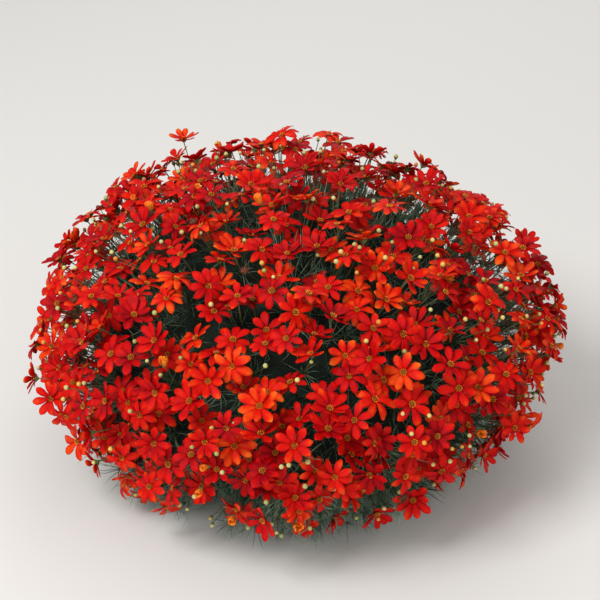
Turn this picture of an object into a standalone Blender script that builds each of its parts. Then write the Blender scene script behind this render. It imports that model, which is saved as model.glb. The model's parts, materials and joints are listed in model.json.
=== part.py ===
"""Threadleaf coreopsis, a whole flowering clump cut off at the soil.

The clump is a low dome of wiry stems that rise from one woody crown. Metres, +Z up. The origin is the centre of
the crown's flat cut underside, and the photographed side faces -Y. Every leafy stem bunch is one solid: a slim
leafy core that stands on the crown, with the flower stalks, blooms, buds and thread leaves that grow out of it.
"""

import math
import random

import bpy
from mathutils import Matrix, Vector
from mathutils.bvhtree import BVHTree

# Driving dimensions of the clump
SPREAD = 0.590
HEIGHT = 0.335
WIDEST_LEVEL = 0.160
FOOT_SHARE = 0.62
LOWEST_LEVEL = 0.020

# Driving dimensions of its pieces
BLOOM_RADIUS = 0.0214
NOTCH_SHARE = 0.42
STALK_RADIUS = 0.0009
STALK_TAPER = 0.75
MOST_NOD = math.radians(58)
BUD_RADIUS = 0.0030
LEAF_RADIUS = 0.0008
BLOOM_COUNT = 526
OFFERS = 3
BUD_COUNT = 30
LEAF_COUNT = 60
DEEP_INSET = 0.008
GROUND_CLEARANCE = 0.003
SEED = 7

# The crown, from which the leafy cores fan out
CROWN_CENTRE = Vector((0.0, 0.0, 0.030))
CROWN_RADIUS = 0.046
CROWN_FOOT_RADIUS = 0.078
CROWN_SIDES = 16
SEAT_GAP = 0.0003
CORE_GAP = 0.0012
CORE_SHARE = 0.78
ROOT_MARGIN = 3.0

# Rings of leafy stem bunches: name, lowest and highest angle seen from the crown, and how many go round
BANDS = (
    ("skirt", -5.0, 19.0, 13),
    ("flank", 19.0, 39.0, 11),
    ("shoulder", 39.0, 58.0, 8),
    ("upper", 58.0, 75.0, 5),
)
CAP_ANGLE = 75.0
CAP_SIDES = 8

# Blooms on long stalks that stand clear of the dome: azimuth, level angle and how far out they reach
STRAY_BLOOMS = (
    (-38.0, -6.0, 0.018),
    (-30.0, -12.0, 0.016),
    (-158.0, -2.0, 0.012),
    (128.0, 48.0, 0.020),
    (96.0, 66.0, 0.016),
    (74.0, 60.0, 0.014),
)


def material(name, colour, roughness):
    made = bpy.data.materials.new(name)
    made.use_nodes = True
    shader = made.node_tree.nodes["Principled BSDF"]
    shader.inputs["Base Color"].default_value = (*colour, 1.0)
    shader.inputs["Roughness"].default_value = roughness
    shader.inputs["Metallic"].default_value = 0.0
    return made


def lobe(azimuth):
    """How much wider than a true round the clump is in this direction."""
    return 1 + 0.022 * math.sin(3 * azimuth + 0.9) + 0.018 * math.sin(5 * azimuth + 2.4)


def dome_axes(level):
    """Half width and half height of the dome's outline above or below its widest level."""
    above = HEIGHT - WIDEST_LEVEL
    below = WIDEST_LEVEL / math.sqrt(1 - FOOT_SHARE**2)
    return SPREAD / 2, above if level >= 0 else below


def dome_point(azimuth, level, inset=0.0):
    """The point of the bloom surface at this azimuth and level angle, and the outward normal there."""
    wide, tall = dome_axes(level)
    wide *= lobe(azimuth)
    flat = Vector((math.cos(azimuth), math.sin(azimuth), 0.0))
    point = flat * wide * math.cos(level) + Vector((0, 0, WIDEST_LEVEL + tall * math.sin(level)))
    normal = flat * math.cos(level) / wide + Vector((0, 0, math.sin(level) / tall))
    normal.normalize()
    return point - normal * inset, normal


def reach(direction):
    """Distance from the crown's centre to the bloom surface along a direction, by halving."""
    azimuth = math.atan2(direction.y, direction.x)
    near, far = 0.0, SPREAD
    for _ in range(24):
        middle = (near + far) / 2
        point = CROWN_CENTRE + direction * middle
        height = point.z - WIDEST_LEVEL
        wide, tall = dome_axes(height)
        wide *= lobe(azimuth)
        inside = (math.hypot(point.x, point.y) / wide) ** 2 + (height / tall) ** 2 < 1
        near, far = (middle, far) if inside else (near, middle)
    return near


def thinness(point):
    """A slow wave over the dome that is high where the foliage shows between the blooms."""
    return (
        math.sin(27 * point.x + 1.3)
        + math.sin(31 * point.y + 4.4)
        + math.sin(37 * point.z + 0.6)
        + math.sin(41 * (point.x + point.z) + 2.0)
    )


def cell_of(point):
    """The leafy stem bunch that a point belongs to, as (band, place in it)."""
    out = point - CROWN_CENTRE
    rise = math.degrees(math.atan2(out.z, math.hypot(out.x, out.y)))
    if rise >= CAP_ANGLE:
        return len(BANDS), 0
    band = max([i for i, row in enumerate(BANDS) if rise >= row[1]] or [0])
    step = 360 / BANDS[band][3]
    azimuth = math.degrees(math.atan2(out.y, out.x)) - band * step / 3
    return band, int((azimuth % 360) // step)


def towards(azimuth, rise):
    """Unit vector at an azimuth and rise in degrees."""
    a, e = math.radians(azimuth), math.radians(rise)
    return Vector((math.cos(a) * math.cos(e), math.sin(a) * math.cos(e), math.sin(e)))


def cell_corners(band, place):
    """Directions of the corners of a bunch's core, in order round it."""
    if band == len(BANDS):
        return [towards(360 * i / CAP_SIDES, CAP_ANGLE + 1.2) for i in range(CAP_SIDES)]
    _, low, _, count = BANDS[band]
    step = 360 / count
    start = band * step / 3 + place * step
    high = core_ledge(band) - 0.3
    low += 0.3
    side = math.degrees(CORE_GAP / (CORE_SHARE * SPREAD / 2)) / 2
    side /= math.cos(math.radians(high))
    left, right = start + side, start + step - side
    return [towards(left, low), towards(right, low), towards(right, high), towards(left, high)]


def cell_centre(band, place):
    total = Vector()
    for corner in cell_corners(band, place):
        total += corner
    return total.normalized()


def turned_to(normal, spin):
    """Rotation that lays +Z along the normal, turned by spin about it."""
    return normal.to_track_quat("Z", "Y").to_matrix() @ Matrix.Rotation(spin, 3, "Z")


def core_ledge(band):
    """Rise that a bunch's core surely reaches at its corners, where its flat top edge dips."""
    _, _, high, count = BANDS[band]
    return math.degrees(math.atan(math.tan(math.radians(high)) * math.cos(math.pi / count)))


def bowed(rise, bow):
    """Rise of a flat-sided core's edge where it bows up between its corners."""
    return math.degrees(math.atan(math.tan(math.radians(rise)) * bow))


def stem_root(tip, cell):
    """Where a stalk that carries tip starts, well inside its bunch's core."""
    band, place = cell
    out = (tip - CROWN_CENTRE).normalized()
    middle = cell_centre(band, place)
    direction = (out * 0.55 + middle * 0.45).normalized()
    rise = math.degrees(math.asin(direction.z))
    azimuth = math.degrees(math.atan2(direction.y, direction.x))
    if band == len(BANDS):
        rise = max(rise, CAP_ANGLE + ROOT_MARGIN)
    else:
        step = 360 / BANDS[band][3]
        start = band * step / 3 + place * step
        side = ROOT_MARGIN / math.cos(math.radians(rise))
        within = min(max((azimuth - start) % 360, side), step - side)
        azimuth = start + within
        bow = math.cos(math.radians(within - step / 2)) / math.cos(math.radians(step / 2))
        lowest = bowed(BANDS[band][1], bow) + ROOT_MARGIN
        rise = min(max(rise, lowest), bowed(core_ledge(band), bow) - ROOT_MARGIN)
    direction = towards(azimuth, rise)
    return CROWN_CENTRE + direction * reach(direction) * (CORE_SHARE - 0.09)


def star_mesh(seat, swell=0.0):
    """Points and faces of a bloom on its stalk: a star of pointed petals, a raised centre and a three-sided stalk."""
    centre, normal, spin, radius, cup, root, petals = seat
    turn = turned_to(normal, spin)
    local = [Vector((0, 0, 0.0022 + swell))]
    for i in range(2 * petals):
        angle = math.pi * i / petals
        out = (NOTCH_SHARE if i % 2 else 1.0) * radius + swell
        rise = 0.0 if i % 2 else cup
        local.append(Vector((out * math.cos(angle), out * math.sin(angle), rise)))
    for i in range(3):
        angle = 2 * math.pi * i / 3
        neck = STALK_RADIUS * 1.5 + swell
        local.append(Vector((neck * math.cos(angle), neck * math.sin(angle), -0.0030 - swell)))
    points = [centre + turn @ p for p in local]
    neck_centre = sum(points[-3:], Vector()) / 3
    points += [root + (neck - neck_centre) * STALK_TAPER for neck in points[-3:]]
    ring = list(range(1, 2 * petals + 1))
    neck = [2 * petals + 1 + i for i in range(3)]
    base = [i + 3 for i in neck]
    faces = [(0, ring[i], ring[(i + 1) % len(ring)]) for i in range(len(ring))]
    faces += between(ring, neck)
    faces += between(neck, base)
    faces.append(tuple(reversed(base)))
    return points, faces


def between(upper, lower):
    """Triangles that join two rings, each shared out evenly to the other, facing outwards."""
    faces = []
    i = j = 0
    while i < len(upper) or j < len(lower):
        if j >= len(lower) or (i < len(upper) and (i + 0.5) / len(upper) <= (j + 0.5) / len(lower)):
            faces.append((upper[i % len(upper)], lower[j % len(lower)], upper[(i + 1) % len(upper)]))
            i += 1
        else:
            faces.append((upper[i % len(upper)], lower[j % len(lower)], lower[(j + 1) % len(lower)]))
            j += 1
    return faces


def bud_mesh(tip, root, swell=0.0):
    """A round bud on its stalk."""
    along = (tip - root).normalized()
    turn = turned_to(along, 0.0)
    rings = ((root, STALK_RADIUS), (tip - along * 0.0040, STALK_RADIUS * 1.1), (tip, BUD_RADIUS))
    points = []
    for at, thick in rings:
        for i in range(3):
            angle = 2 * math.pi * i / 3
            out = thick + swell
            points.append(at + turn @ Vector((out * math.cos(angle), out * math.sin(angle), 0)))
    points.append(tip + along * (0.0035 + swell))
    faces = [(2, 1, 0)]
    faces += between([3, 4, 5], [0, 1, 2])
    faces += between([6, 7, 8], [3, 4, 5])
    faces += [(9, 6, 7), (9, 7, 8), (9, 8, 6)]
    return points, faces


def leaf_mesh(tip, root, swell=0.0):
    """One three-sided thread leaf, from its root to its point."""
    turn = turned_to((tip - root).normalized(), 0.0)
    points = []
    for i in range(3):
        angle = 2 * math.pi * i / 3
        out = LEAF_RADIUS + swell
        points.append(root + turn @ Vector((out * math.cos(angle), out * math.sin(angle), 0)))
    points.append(tip)
    return points, [(2, 1, 0), (3, 0, 1), (3, 1, 2), (3, 2, 0)]


class Clump:
    """Every piece placed so far, which a new one has to clear."""

    def __init__(self):
        self.trees = []
        self.pieces = []

    def fits(self, points, faces, at):
        if min(p.z for p in points) < GROUND_CLEARANCE:
            return None
        tree = BVHTree.FromPolygons(points, faces)
        for place, other in self.trees:
            if (place - at).length < 0.085 and tree.overlap(other):
                return None
        return tree

    def add(self, kind, seat, cell, tree, at):
        self.trees.append((at, tree))
        self.pieces.append((kind, seat, cell))


def random_level(rng):
    """A level angle drawn evenly over the dome's surface."""
    lowest = math.asin((LOWEST_LEVEL - WIDEST_LEVEL) / dome_axes(-1)[1])
    while True:
        level = rng.uniform(lowest, math.pi / 2)
        wide, tall = dome_axes(level)
        area = math.cos(level) * math.hypot(wide * math.sin(level), tall * math.cos(level)) / wide
        if rng.random() < area:
            return level


def bloom_seat(rng, azimuth, level, inset):
    """Place, facing, spin, radius, cup, root and number of petals of one bloom."""
    point, normal = dome_point(azimuth, level, inset)
    wobble = Vector((rng.uniform(-1, 1), rng.uniform(-1, 1), rng.uniform(-1, 1))) * 0.52
    facing = (normal * 0.72 + Vector((0, 0, 0.42)) + wobble).normalized()
    radius = BLOOM_RADIUS * rng.uniform(0.84, 1.06)
    cup = rng.uniform(-0.006, 0.009)
    cell = cell_of(point)
    root = stem_root(point, cell)
    along = (point - root).normalized()
    nod = facing.angle(along)
    if nod > MOST_NOD:
        facing = along.slerp(facing, MOST_NOD / nod)
    petals = 3 if inset > DEEP_INSET else 4
    return (point, facing, rng.uniform(0, math.tau), radius, cup, root, petals), cell


def place_blooms(clump, rng):
    spots = []
    for azimuth, level, further in STRAY_BLOOMS:
        seat, cell = bloom_seat(rng, math.radians(azimuth), math.radians(level), -further)
        points, faces = star_mesh(seat, 0.0005)
        tree = clump.fits(points, faces, seat[0])
        if tree:
            clump.add("bloom", seat, cell, tree, seat[0])
            spots.append(seat[0])
    offers = []
    for _ in range(120 * BLOOM_COUNT):
        if len(spots) >= BLOOM_COUNT:
            break
        level = random_level(rng)
        azimuth = rng.uniform(-math.pi, math.pi)
        point, _ = dome_point(azimuth, level)
        sparse = 0.94 if point.z < 0.048 else 0.60 if point.z < 0.085 else 0.0
        if thinness(point) > 3.1 or rng.random() < sparse:
            continue
        depth = rng.choice((0.0, 0.0, 0.011, 0.022)) + rng.uniform(-0.005, 0.005)
        seat, cell = bloom_seat(rng, azimuth, level, depth)
        points, faces = star_mesh(seat, 0.0005)
        tree = clump.fits(points, faces, seat[0])
        if tree:
            room = min((point - spot).length for spot in spots)
            offers.append((room, seat, cell, tree, point))
        if len(offers) == OFFERS:
            _, seat, cell, tree, point = max(offers, key=lambda offer: offer[0])
            clump.add("bloom", seat, cell, tree, seat[0])
            spots.append(point)
            offers = []


def place_buds(clump, rng):
    placed = 0
    for _ in range(40 * BUD_COUNT):
        if placed >= BUD_COUNT:
            break
        point, normal = dome_point(rng.uniform(-math.pi, math.pi), random_level(rng), rng.uniform(-0.006, 0.010))
        cell = cell_of(point)
        root = stem_root(point, cell)
        points, faces = bud_mesh(point, root, 0.0004)
        tree = clump.fits(points, faces, point)
        if tree:
            clump.add("bud", (point, root), cell, tree, point)
            placed += 1


def place_leaves(clump, rng):
    placed = 0
    for _ in range(40 * LEAF_COUNT):
        if placed >= LEAF_COUNT:
            break
        tip, normal = dome_point(rng.uniform(-math.pi, math.pi), random_level(rng), rng.uniform(0.006, 0.034))
        cell = cell_of(tip)
        root = stem_root(tip, cell)
        points, faces = leaf_mesh(tip, root, 0.0004)
        tree = clump.fits(points, faces, tip)
        if tree:
            clump.add("leaf", (tip, root), cell, tree, tip)
            placed += 1


def mesh_object(name, points, faces, finish):
    mesh = bpy.data.meshes.new(name)
    mesh.from_pydata([tuple(p) for p in points], [], [tuple(f) for f in faces])
    made = bpy.data.objects.new(name, mesh)
    mesh.materials.append(finish)
    bpy.context.scene.collection.objects.link(made)
    return made


def core_mesh(band, place):
    """A bunch's leafy core: it widens from its seat on the crown, and its top rises to leafy points."""
    corners = cell_corners(band, place)
    middle = cell_centre(band, place)
    spread = max(middle.angle(corner) for corner in corners)
    seat = (CROWN_RADIUS + SEAT_GAP) / math.cos(spread)
    inner = [CROWN_CENTRE + corner * seat for corner in corners]
    outer = [CROWN_CENTRE + corner * reach(corner) * CORE_SHARE for corner in corners]
    count = len(corners)
    points = inner + outer + [CROWN_CENTRE + middle * reach(middle) * (CORE_SHARE + 0.02)]
    faces = [tuple(reversed(range(count)))]
    for i in range(count):
        after = (i + 1) % count
        faces.append((i, after, count + after, count + i))
        trio = (count + i, count + after, 2 * count)
        points.append(sum((points[k] for k in trio), Vector()) / 3)
        tip = points[-1] - CROWN_CENTRE
        points[-1] = CROWN_CENTRE + tip * (1.04 if i % 2 else 1.08)
        top = len(points) - 1
        faces += [(trio[0], trio[1], top), (trio[1], trio[2], top), (trio[2], trio[0], top)]
    return points, faces


def stem_bunch(name, band, place, pieces, finish):
    """One leafy stem bunch, with its blooms, buds and leaves joined to the core."""
    points, faces = core_mesh(band, place)
    bunch = mesh_object(name, points, faces, finish)
    gathered = bpy.data.collections.new(name + "_pieces")
    bpy.context.scene.collection.children.link(gathered)
    for number, (kind, seat, _) in enumerate(pieces):
        if kind == "bloom":
            points, faces = star_mesh(seat)
        else:
            points, faces = (bud_mesh if kind == "bud" else leaf_mesh)(*seat)
        piece = mesh_object(f"{name}_{kind}_{number}", points, faces, finish)
        bpy.context.scene.collection.objects.unlink(piece)
        gathered.objects.link(piece)
    union = bunch.modifiers.new("grown together", "BOOLEAN")
    union.operation = "UNION"
    union.operand_type = "COLLECTION"
    union.collection = gathered
    union.solver = "MANIFOLD"
    bpy.context.view_layer.objects.active = bunch
    bpy.ops.object.modifier_apply(modifier=union.name)
    for piece in list(gathered.objects):
        bpy.data.objects.remove(piece)
    bpy.data.collections.remove(gathered)
    return bunch


def woody_crown(finish):
    """The crown: a flat cut foot that flares out on the soil, and a knotty dome that the bunches stand on."""
    profile = [(CROWN_FOOT_RADIUS - 0.004, 0.0), (CROWN_FOOT_RADIUS, 0.006), (0.066, 0.013)]
    for rise in (-14, 6, 26, 46, 66):
        angle = math.radians(rise)
        profile.append((CROWN_RADIUS * math.cos(angle), CROWN_CENTRE.z + CROWN_RADIUS * math.sin(angle)))
    points = []
    for radius, height in profile:
        for i in range(CROWN_SIDES):
            angle = math.tau * i / CROWN_SIDES
            knot = 1 + 0.03 * math.sin(5 * angle) if height < 0.010 else 1
            points.append(Vector((radius * knot * math.cos(angle), radius * knot * math.sin(angle), height)))
    points.append(CROWN_CENTRE + Vector((0, 0, CROWN_RADIUS)))
    faces = [tuple(reversed(range(CROWN_SIDES)))]
    for level in range(len(profile) - 1):
        low, high = level * CROWN_SIDES, (level + 1) * CROWN_SIDES
        for i in range(CROWN_SIDES):
            after = (i + 1) % CROWN_SIDES
            faces.append((low + i, low + after, high + after, high + i))
    last = (len(profile) - 1) * CROWN_SIDES
    for i in range(CROWN_SIDES):
        faces.append((last + i, last + (i + 1) % CROWN_SIDES, len(points) - 1))
    return mesh_object("crown", points, faces, finish)


def main():
    for old in list(bpy.data.objects):
        bpy.data.objects.remove(old)
    bloom_red = material("bloom red", (0.72, 0.045, 0.010), 0.55)
    crown_brown = material("crown brown", (0.16, 0.11, 0.06), 0.85)
    rng = random.Random(SEED)
    clump = Clump()
    place_blooms(clump, rng)
    place_buds(clump, rng)
    place_leaves(clump, rng)
    woody_crown(crown_brown)
    cells = [(band, place) for band, row in enumerate(BANDS) for place in range(row[3])]
    cells.append((len(BANDS), 0))
    for band, place in cells:
        word = BANDS[band][0] if band < len(BANDS) else "cap"
        pieces = [piece for piece in clump.pieces if piece[2] == (band, place)]
        stem_bunch(f"{word}_bunch_{place + 1:02d}", band, place, pieces, bloom_red)
    counts = {kind: sum(piece[0] == kind for piece in clump.pieces) for kind in ("bloom", "bud", "leaf")}
    print("placed", counts)


main()
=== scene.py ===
"""Threadleaf coreopsis, a whole flowering clump, dressed over its CAD frame.

Metres, +Z up, with the side that the photograph shows towards -Y.
"""

import json
import math
import random

import bmesh
import bpy
from mathutils import Matrix, Vector
from mathutils.bvhtree import BVHTree

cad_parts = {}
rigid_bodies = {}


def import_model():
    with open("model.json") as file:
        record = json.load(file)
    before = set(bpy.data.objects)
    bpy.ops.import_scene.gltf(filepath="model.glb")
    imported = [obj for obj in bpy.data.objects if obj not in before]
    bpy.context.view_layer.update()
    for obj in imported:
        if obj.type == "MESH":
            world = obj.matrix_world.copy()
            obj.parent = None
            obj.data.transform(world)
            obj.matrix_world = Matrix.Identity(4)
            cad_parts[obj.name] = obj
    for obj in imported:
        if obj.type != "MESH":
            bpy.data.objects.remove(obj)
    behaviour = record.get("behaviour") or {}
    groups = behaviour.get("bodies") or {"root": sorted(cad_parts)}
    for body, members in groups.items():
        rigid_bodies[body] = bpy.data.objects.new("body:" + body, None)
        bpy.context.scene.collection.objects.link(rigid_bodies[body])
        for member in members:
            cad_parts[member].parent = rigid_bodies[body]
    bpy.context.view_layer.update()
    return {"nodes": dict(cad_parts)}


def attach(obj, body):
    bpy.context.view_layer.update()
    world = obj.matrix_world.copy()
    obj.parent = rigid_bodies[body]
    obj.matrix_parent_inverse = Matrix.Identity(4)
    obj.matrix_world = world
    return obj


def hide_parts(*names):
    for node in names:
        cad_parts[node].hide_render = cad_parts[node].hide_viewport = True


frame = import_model()

# The woody crown. All the stems rise from this knot of old wood, which sits on the soil and is cut flat where
# the roots begin. It is drawn up from a disc ring by ring, and the furrows of its bark are in the finish.
CROWN_CENTRE = Vector((0.0, 0.0, 0.030))
CROWN_RADIUS = 0.046
FOOT_RADIUS = 0.077
FOOT_DEPTH = 0.010

# How much each further ring of the crown rises, and its width as a share of the ring below
CROWN_RINGS = (
    (0.006, 0.86),
    (0.010, 0.72),
    (0.014, 0.95),
    (0.014, 0.92),
    (0.012, 0.78),
    (0.008, 0.55),
    (0.003, 0.30),
)


class Finish:
    """A socket of a finish's node tree, so that sums on it add their nodes."""

    def __init__(self, tree, socket=None):
        self.tree = tree
        self.socket = socket

    def node(self, kind, settings=None, sockets=None, out=0):
        """Adds a node, sets it, then gives its sockets their values or links."""
        made = self.tree.nodes.new(kind)
        for name, value in (settings or {}).items():
            if name == "stops":
                steps = made.color_ramp.elements
                steps[0].position = value[0][0]
                steps[-1].position = value[-1][0]
                for place, _ in value[1:-1]:
                    steps.new(place)
                for step, (_, colour) in zip(steps, value):
                    step.color = (*colour, 1.0)
            else:
                setattr(made, name, value)
        for name, value in (sockets or {}).items():
            if isinstance(value, Finish):
                self.tree.links.new(value.socket, made.inputs[name])
            else:
                made.inputs[name].default_value = value
        return Finish(self.tree, made.outputs[out])

    def tone(self):
        """How light this copy of a model is among the others, from 0 to 1."""
        return self.node("ShaderNodeAttribute", {"attribute_name": "tone"}, out="Fac")

    def noise(self, scale, detail):
        """A cloudy drift over the piece, finer as the scale is larger."""
        place = self.node("ShaderNodeTexCoord", out="Object")
        return self.node("ShaderNodeTexNoise", None, {"Vector": place, "Scale": scale, "Detail": detail})

    def petal_share(self, axis):
        """How far along (axis 0) or across (axis 1) its petal a spot lies."""
        sheet = self.node("ShaderNodeUVMap", {"uv_map": "UVMap"})
        return self.node("ShaderNodeSeparateXYZ", None, {0: sheet}, axis)

    def maths(self, operation, *values):
        """One sum on these values."""
        return self.node("ShaderNodeMath", {"operation": operation}, dict(enumerate(values)))

    def __abs__(self):
        return self.maths("ABSOLUTE", self)

    def __add__(self, other):
        return self.maths("ADD", self, other)

    def __radd__(self, other):
        return self.maths("ADD", other, self)

    def __sub__(self, other):
        return self.maths("SUBTRACT", self, other)

    def __rsub__(self, other):
        return self.maths("SUBTRACT", other, self)

    def __mul__(self, other):
        return self.maths("MULTIPLY", self, other)

    def __rmul__(self, other):
        return self.maths("MULTIPLY", other, self)

    def mixed(self, low, high):
        """Runs from one colour to the other as this value goes from 0 to 1."""
        sockets = {0: self, 6: low, 7: high}
        return self.node("ShaderNodeMix", {"data_type": "RGBA"}, sockets, 2)


def new_finish(name, roughness, gloss=0.3):
    """A material with a plain shader, and the tools to dress it."""
    made = bpy.data.materials.new(name)
    made.use_nodes = True
    shader = made.node_tree.nodes["Principled BSDF"]
    shader.inputs["Roughness"].default_value = roughness
    shader.inputs["Specular IOR Level"].default_value = gloss
    return made, Finish(made.node_tree), shader


def dress(paint, shader, colour, roughness=None, relief=None, depth=0.0005):
    """Leads the colour, and the roughness and relief if given, to the shader."""
    paint.tree.links.new(colour.socket, shader.inputs["Base Color"])
    if roughness:
        paint.tree.links.new(roughness.socket, shader.inputs["Roughness"])
    if relief:
        bump = paint.node("ShaderNodeBump", None, {"Strength": 0.6, "Distance": depth, "Height": relief})
        paint.tree.links.new(bump.socket, shader.inputs["Normal"])


def coat(piece, *finishes):
    """Gives a piece these finishes."""
    piece.data.materials.clear()
    for finish in finishes:
        piece.data.materials.append(finish)


def start_piece(name):
    """Names the primitive that was just added, and opens it in edit mode with nothing picked."""
    piece = bpy.context.object
    piece.name = name
    piece.data.name = name
    bpy.ops.object.mode_set(mode="EDIT")
    bpy.ops.mesh.select_mode(type="VERT")
    bpy.ops.mesh.select_all(action="DESELECT")
    return piece


def pick(piece, wanted):
    """Picks the points of the piece being edited that are wanted."""
    net = bmesh.from_edit_mesh(piece.data)
    for point in net.verts:
        point.select = wanted(point.co)
    net.select_flush_mode()
    bmesh.update_edit_mesh(piece.data)


bpy.ops.object.select_all(action="DESELECT")
foot_middle = (0, 0, FOOT_DEPTH / 2)
bpy.ops.mesh.primitive_cylinder_add(vertices=40, radius=FOOT_RADIUS, depth=FOOT_DEPTH, location=foot_middle)
crown = start_piece("woody_crown")
bpy.ops.object.mode_set(mode="OBJECT")
bpy.ops.object.transform_apply(location=True, rotation=True, scale=True)
bpy.ops.object.mode_set(mode="EDIT")
bpy.ops.mesh.select_all(action="DESELECT")
net = bmesh.from_edit_mesh(crown.data)
for face in net.faces:
    face.select = face.normal.z > 0.9
bmesh.update_edit_mesh(crown.data)
for rise, share in CROWN_RINGS:
    bpy.ops.mesh.extrude_region_move(TRANSFORM_OT_translate={"value": (0, 0, rise)})
    bpy.ops.transform.resize(value=(share, share, 1.0), center_override=(0, 0, 0))
pick(crown, lambda point: point.z > FOOT_DEPTH + 0.002)
bpy.ops.transform.vertex_random(offset=0.0022, uniform=0.4, seed=3)
bpy.ops.object.mode_set(mode="OBJECT")
bpy.ops.object.shade_smooth()

crown_bark, paint, shader = new_finish("crown bark", 0.85)
place = paint.node("ShaderNodeTexCoord", out="Object")
along = paint.node("ShaderNodeMapping", None, {"Vector": place, "Scale": (160.0, 160.0, 40.0)})
furrows = paint.node("ShaderNodeTexNoise", None, {"Vector": along, "Scale": 1.0, "Detail": 6.0})
lichen = paint.noise(70.0, 3.0)
bark = furrows.mixed((0.050, 0.032, 0.018, 1), (0.270, 0.190, 0.115, 1))
patches = paint.node("ShaderNodeValToRGB", {"stops": ((0.5, (0, 0, 0)), (0.7, (1, 1, 1)))}, {0: lichen})
grown_over = (patches * 0.5).mixed(bark, (0.230, 0.215, 0.150, 1))
dress(paint, shader, grown_over, 0.75 + furrows * 0.2, furrows, 0.002)
coat(crown, crown_bark)
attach(crown, "root")
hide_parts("crown")

# The stems and where they lead. The clump is a low dome of wiry stems that fan out of the crown, each to its
# own bloom, bud or leafy end. They are drawn by the same rule as the CAD solids, so a bloom here stands where
# its star does there. A stem is a slim green rod that thins and bows a little on its way out.

# Driving dimensions of the clump
SPREAD = 0.590
HEIGHT = 0.335
WIDEST_LEVEL = 0.160
FOOT_SHARE = 0.62
LOWEST_LEVEL = 0.020

# Driving dimensions of its pieces
BLOOM_RADIUS = 0.0214
NOTCH_SHARE = 0.42
STALK_RADIUS = 0.0009
STALK_TAPER = 0.75
MOST_NOD = math.radians(58)
BUD_RADIUS = 0.0030
LEAF_RADIUS = 0.0008
BLOOM_COUNT = 526
OFFERS = 3
BUD_COUNT = 30
LEAF_COUNT = 60
DEEP_INSET = 0.008
GROUND_CLEARANCE = 0.003
SEED = 7

# The CAD's leafy cores
CORE_GAP = 0.0012
CORE_SHARE = 0.78
ROOT_MARGIN = 3.0

# Rings of leafy stem bunches: name, lowest and highest angle seen from the crown, and how many go round
BANDS = (
    ("skirt", -5.0, 19.0, 13),
    ("flank", 19.0, 39.0, 11),
    ("shoulder", 39.0, 58.0, 8),
    ("upper", 58.0, 75.0, 5),
)
CAP_ANGLE = 75.0
CAP_SIDES = 8

# Blooms on long stalks that stand clear of the dome: azimuth, level angle and how far out they reach
STRAY_BLOOMS = (
    (-38.0, -6.0, 0.018),
    (-30.0, -12.0, 0.016),
    (-158.0, -2.0, 0.012),
    (128.0, 48.0, 0.020),
    (96.0, 66.0, 0.016),
    (74.0, 60.0, 0.014),
)


def lobe(azimuth):
    """How much wider than a true round the clump is in this direction."""
    return 1 + 0.022 * math.sin(3 * azimuth + 0.9) + 0.018 * math.sin(5 * azimuth + 2.4)


def dome_axes(level):
    """Half width and half height of the dome's outline above or below its widest level."""
    above = HEIGHT - WIDEST_LEVEL
    below = WIDEST_LEVEL / math.sqrt(1 - FOOT_SHARE**2)
    return SPREAD / 2, above if level >= 0 else below


def dome_point(azimuth, level, inset=0.0):
    """The point of the bloom surface at this azimuth and level angle, and the outward normal there."""
    wide, tall = dome_axes(level)
    wide *= lobe(azimuth)
    flat = Vector((math.cos(azimuth), math.sin(azimuth), 0.0))
    point = flat * wide * math.cos(level) + Vector((0, 0, WIDEST_LEVEL + tall * math.sin(level)))
    normal = flat * math.cos(level) / wide + Vector((0, 0, math.sin(level) / tall))
    normal.normalize()
    return point - normal * inset, normal


def reach(direction):
    """Distance from the crown's centre to the bloom surface along a direction, by halving."""
    azimuth = math.atan2(direction.y, direction.x)
    near, far = 0.0, SPREAD
    for _ in range(24):
        middle = (near + far) / 2
        point = CROWN_CENTRE + direction * middle
        height = point.z - WIDEST_LEVEL
        wide, tall = dome_axes(height)
        wide *= lobe(azimuth)
        inside = (math.hypot(point.x, point.y) / wide) ** 2 + (height / tall) ** 2 < 1
        near, far = (middle, far) if inside else (near, middle)
    return near


def thinness(point):
    """A slow wave over the dome that is high where the foliage shows between the blooms."""
    return (
        math.sin(27 * point.x + 1.3)
        + math.sin(31 * point.y + 4.4)
        + math.sin(37 * point.z + 0.6)
        + math.sin(41 * (point.x + point.z) + 2.0)
    )


def cell_of(point):
    """The leafy stem bunch that a point belongs to, as (band, place in it)."""
    out = point - CROWN_CENTRE
    rise = math.degrees(math.atan2(out.z, math.hypot(out.x, out.y)))
    if rise >= CAP_ANGLE:
        return len(BANDS), 0
    band = max([i for i, row in enumerate(BANDS) if rise >= row[1]] or [0])
    step = 360 / BANDS[band][3]
    azimuth = math.degrees(math.atan2(out.y, out.x)) - band * step / 3
    return band, int((azimuth % 360) // step)


def towards(azimuth, rise):
    """Unit vector at an azimuth and rise in degrees."""
    a, e = math.radians(azimuth), math.radians(rise)
    return Vector((math.cos(a) * math.cos(e), math.sin(a) * math.cos(e), math.sin(e)))


def cell_corners(band, place):
    """Directions of the corners of a bunch's core, in order round it."""
    if band == len(BANDS):
        return [towards(360 * i / CAP_SIDES, CAP_ANGLE + 1.2) for i in range(CAP_SIDES)]
    _, low, _, count = BANDS[band]
    step = 360 / count
    start = band * step / 3 + place * step
    high = core_ledge(band) - 0.3
    low += 0.3
    side = math.degrees(CORE_GAP / (CORE_SHARE * SPREAD / 2)) / 2
    side /= math.cos(math.radians(high))
    left, right = start + side, start + step - side
    return [towards(left, low), towards(right, low), towards(right, high), towards(left, high)]


def cell_centre(band, place):
    total = Vector()
    for corner in cell_corners(band, place):
        total += corner
    return total.normalized()


def turned_to(normal, spin):
    """Rotation that lays +Z along the normal, turned by spin about it."""
    return normal.to_track_quat("Z", "Y").to_matrix() @ Matrix.Rotation(spin, 3, "Z")


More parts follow.
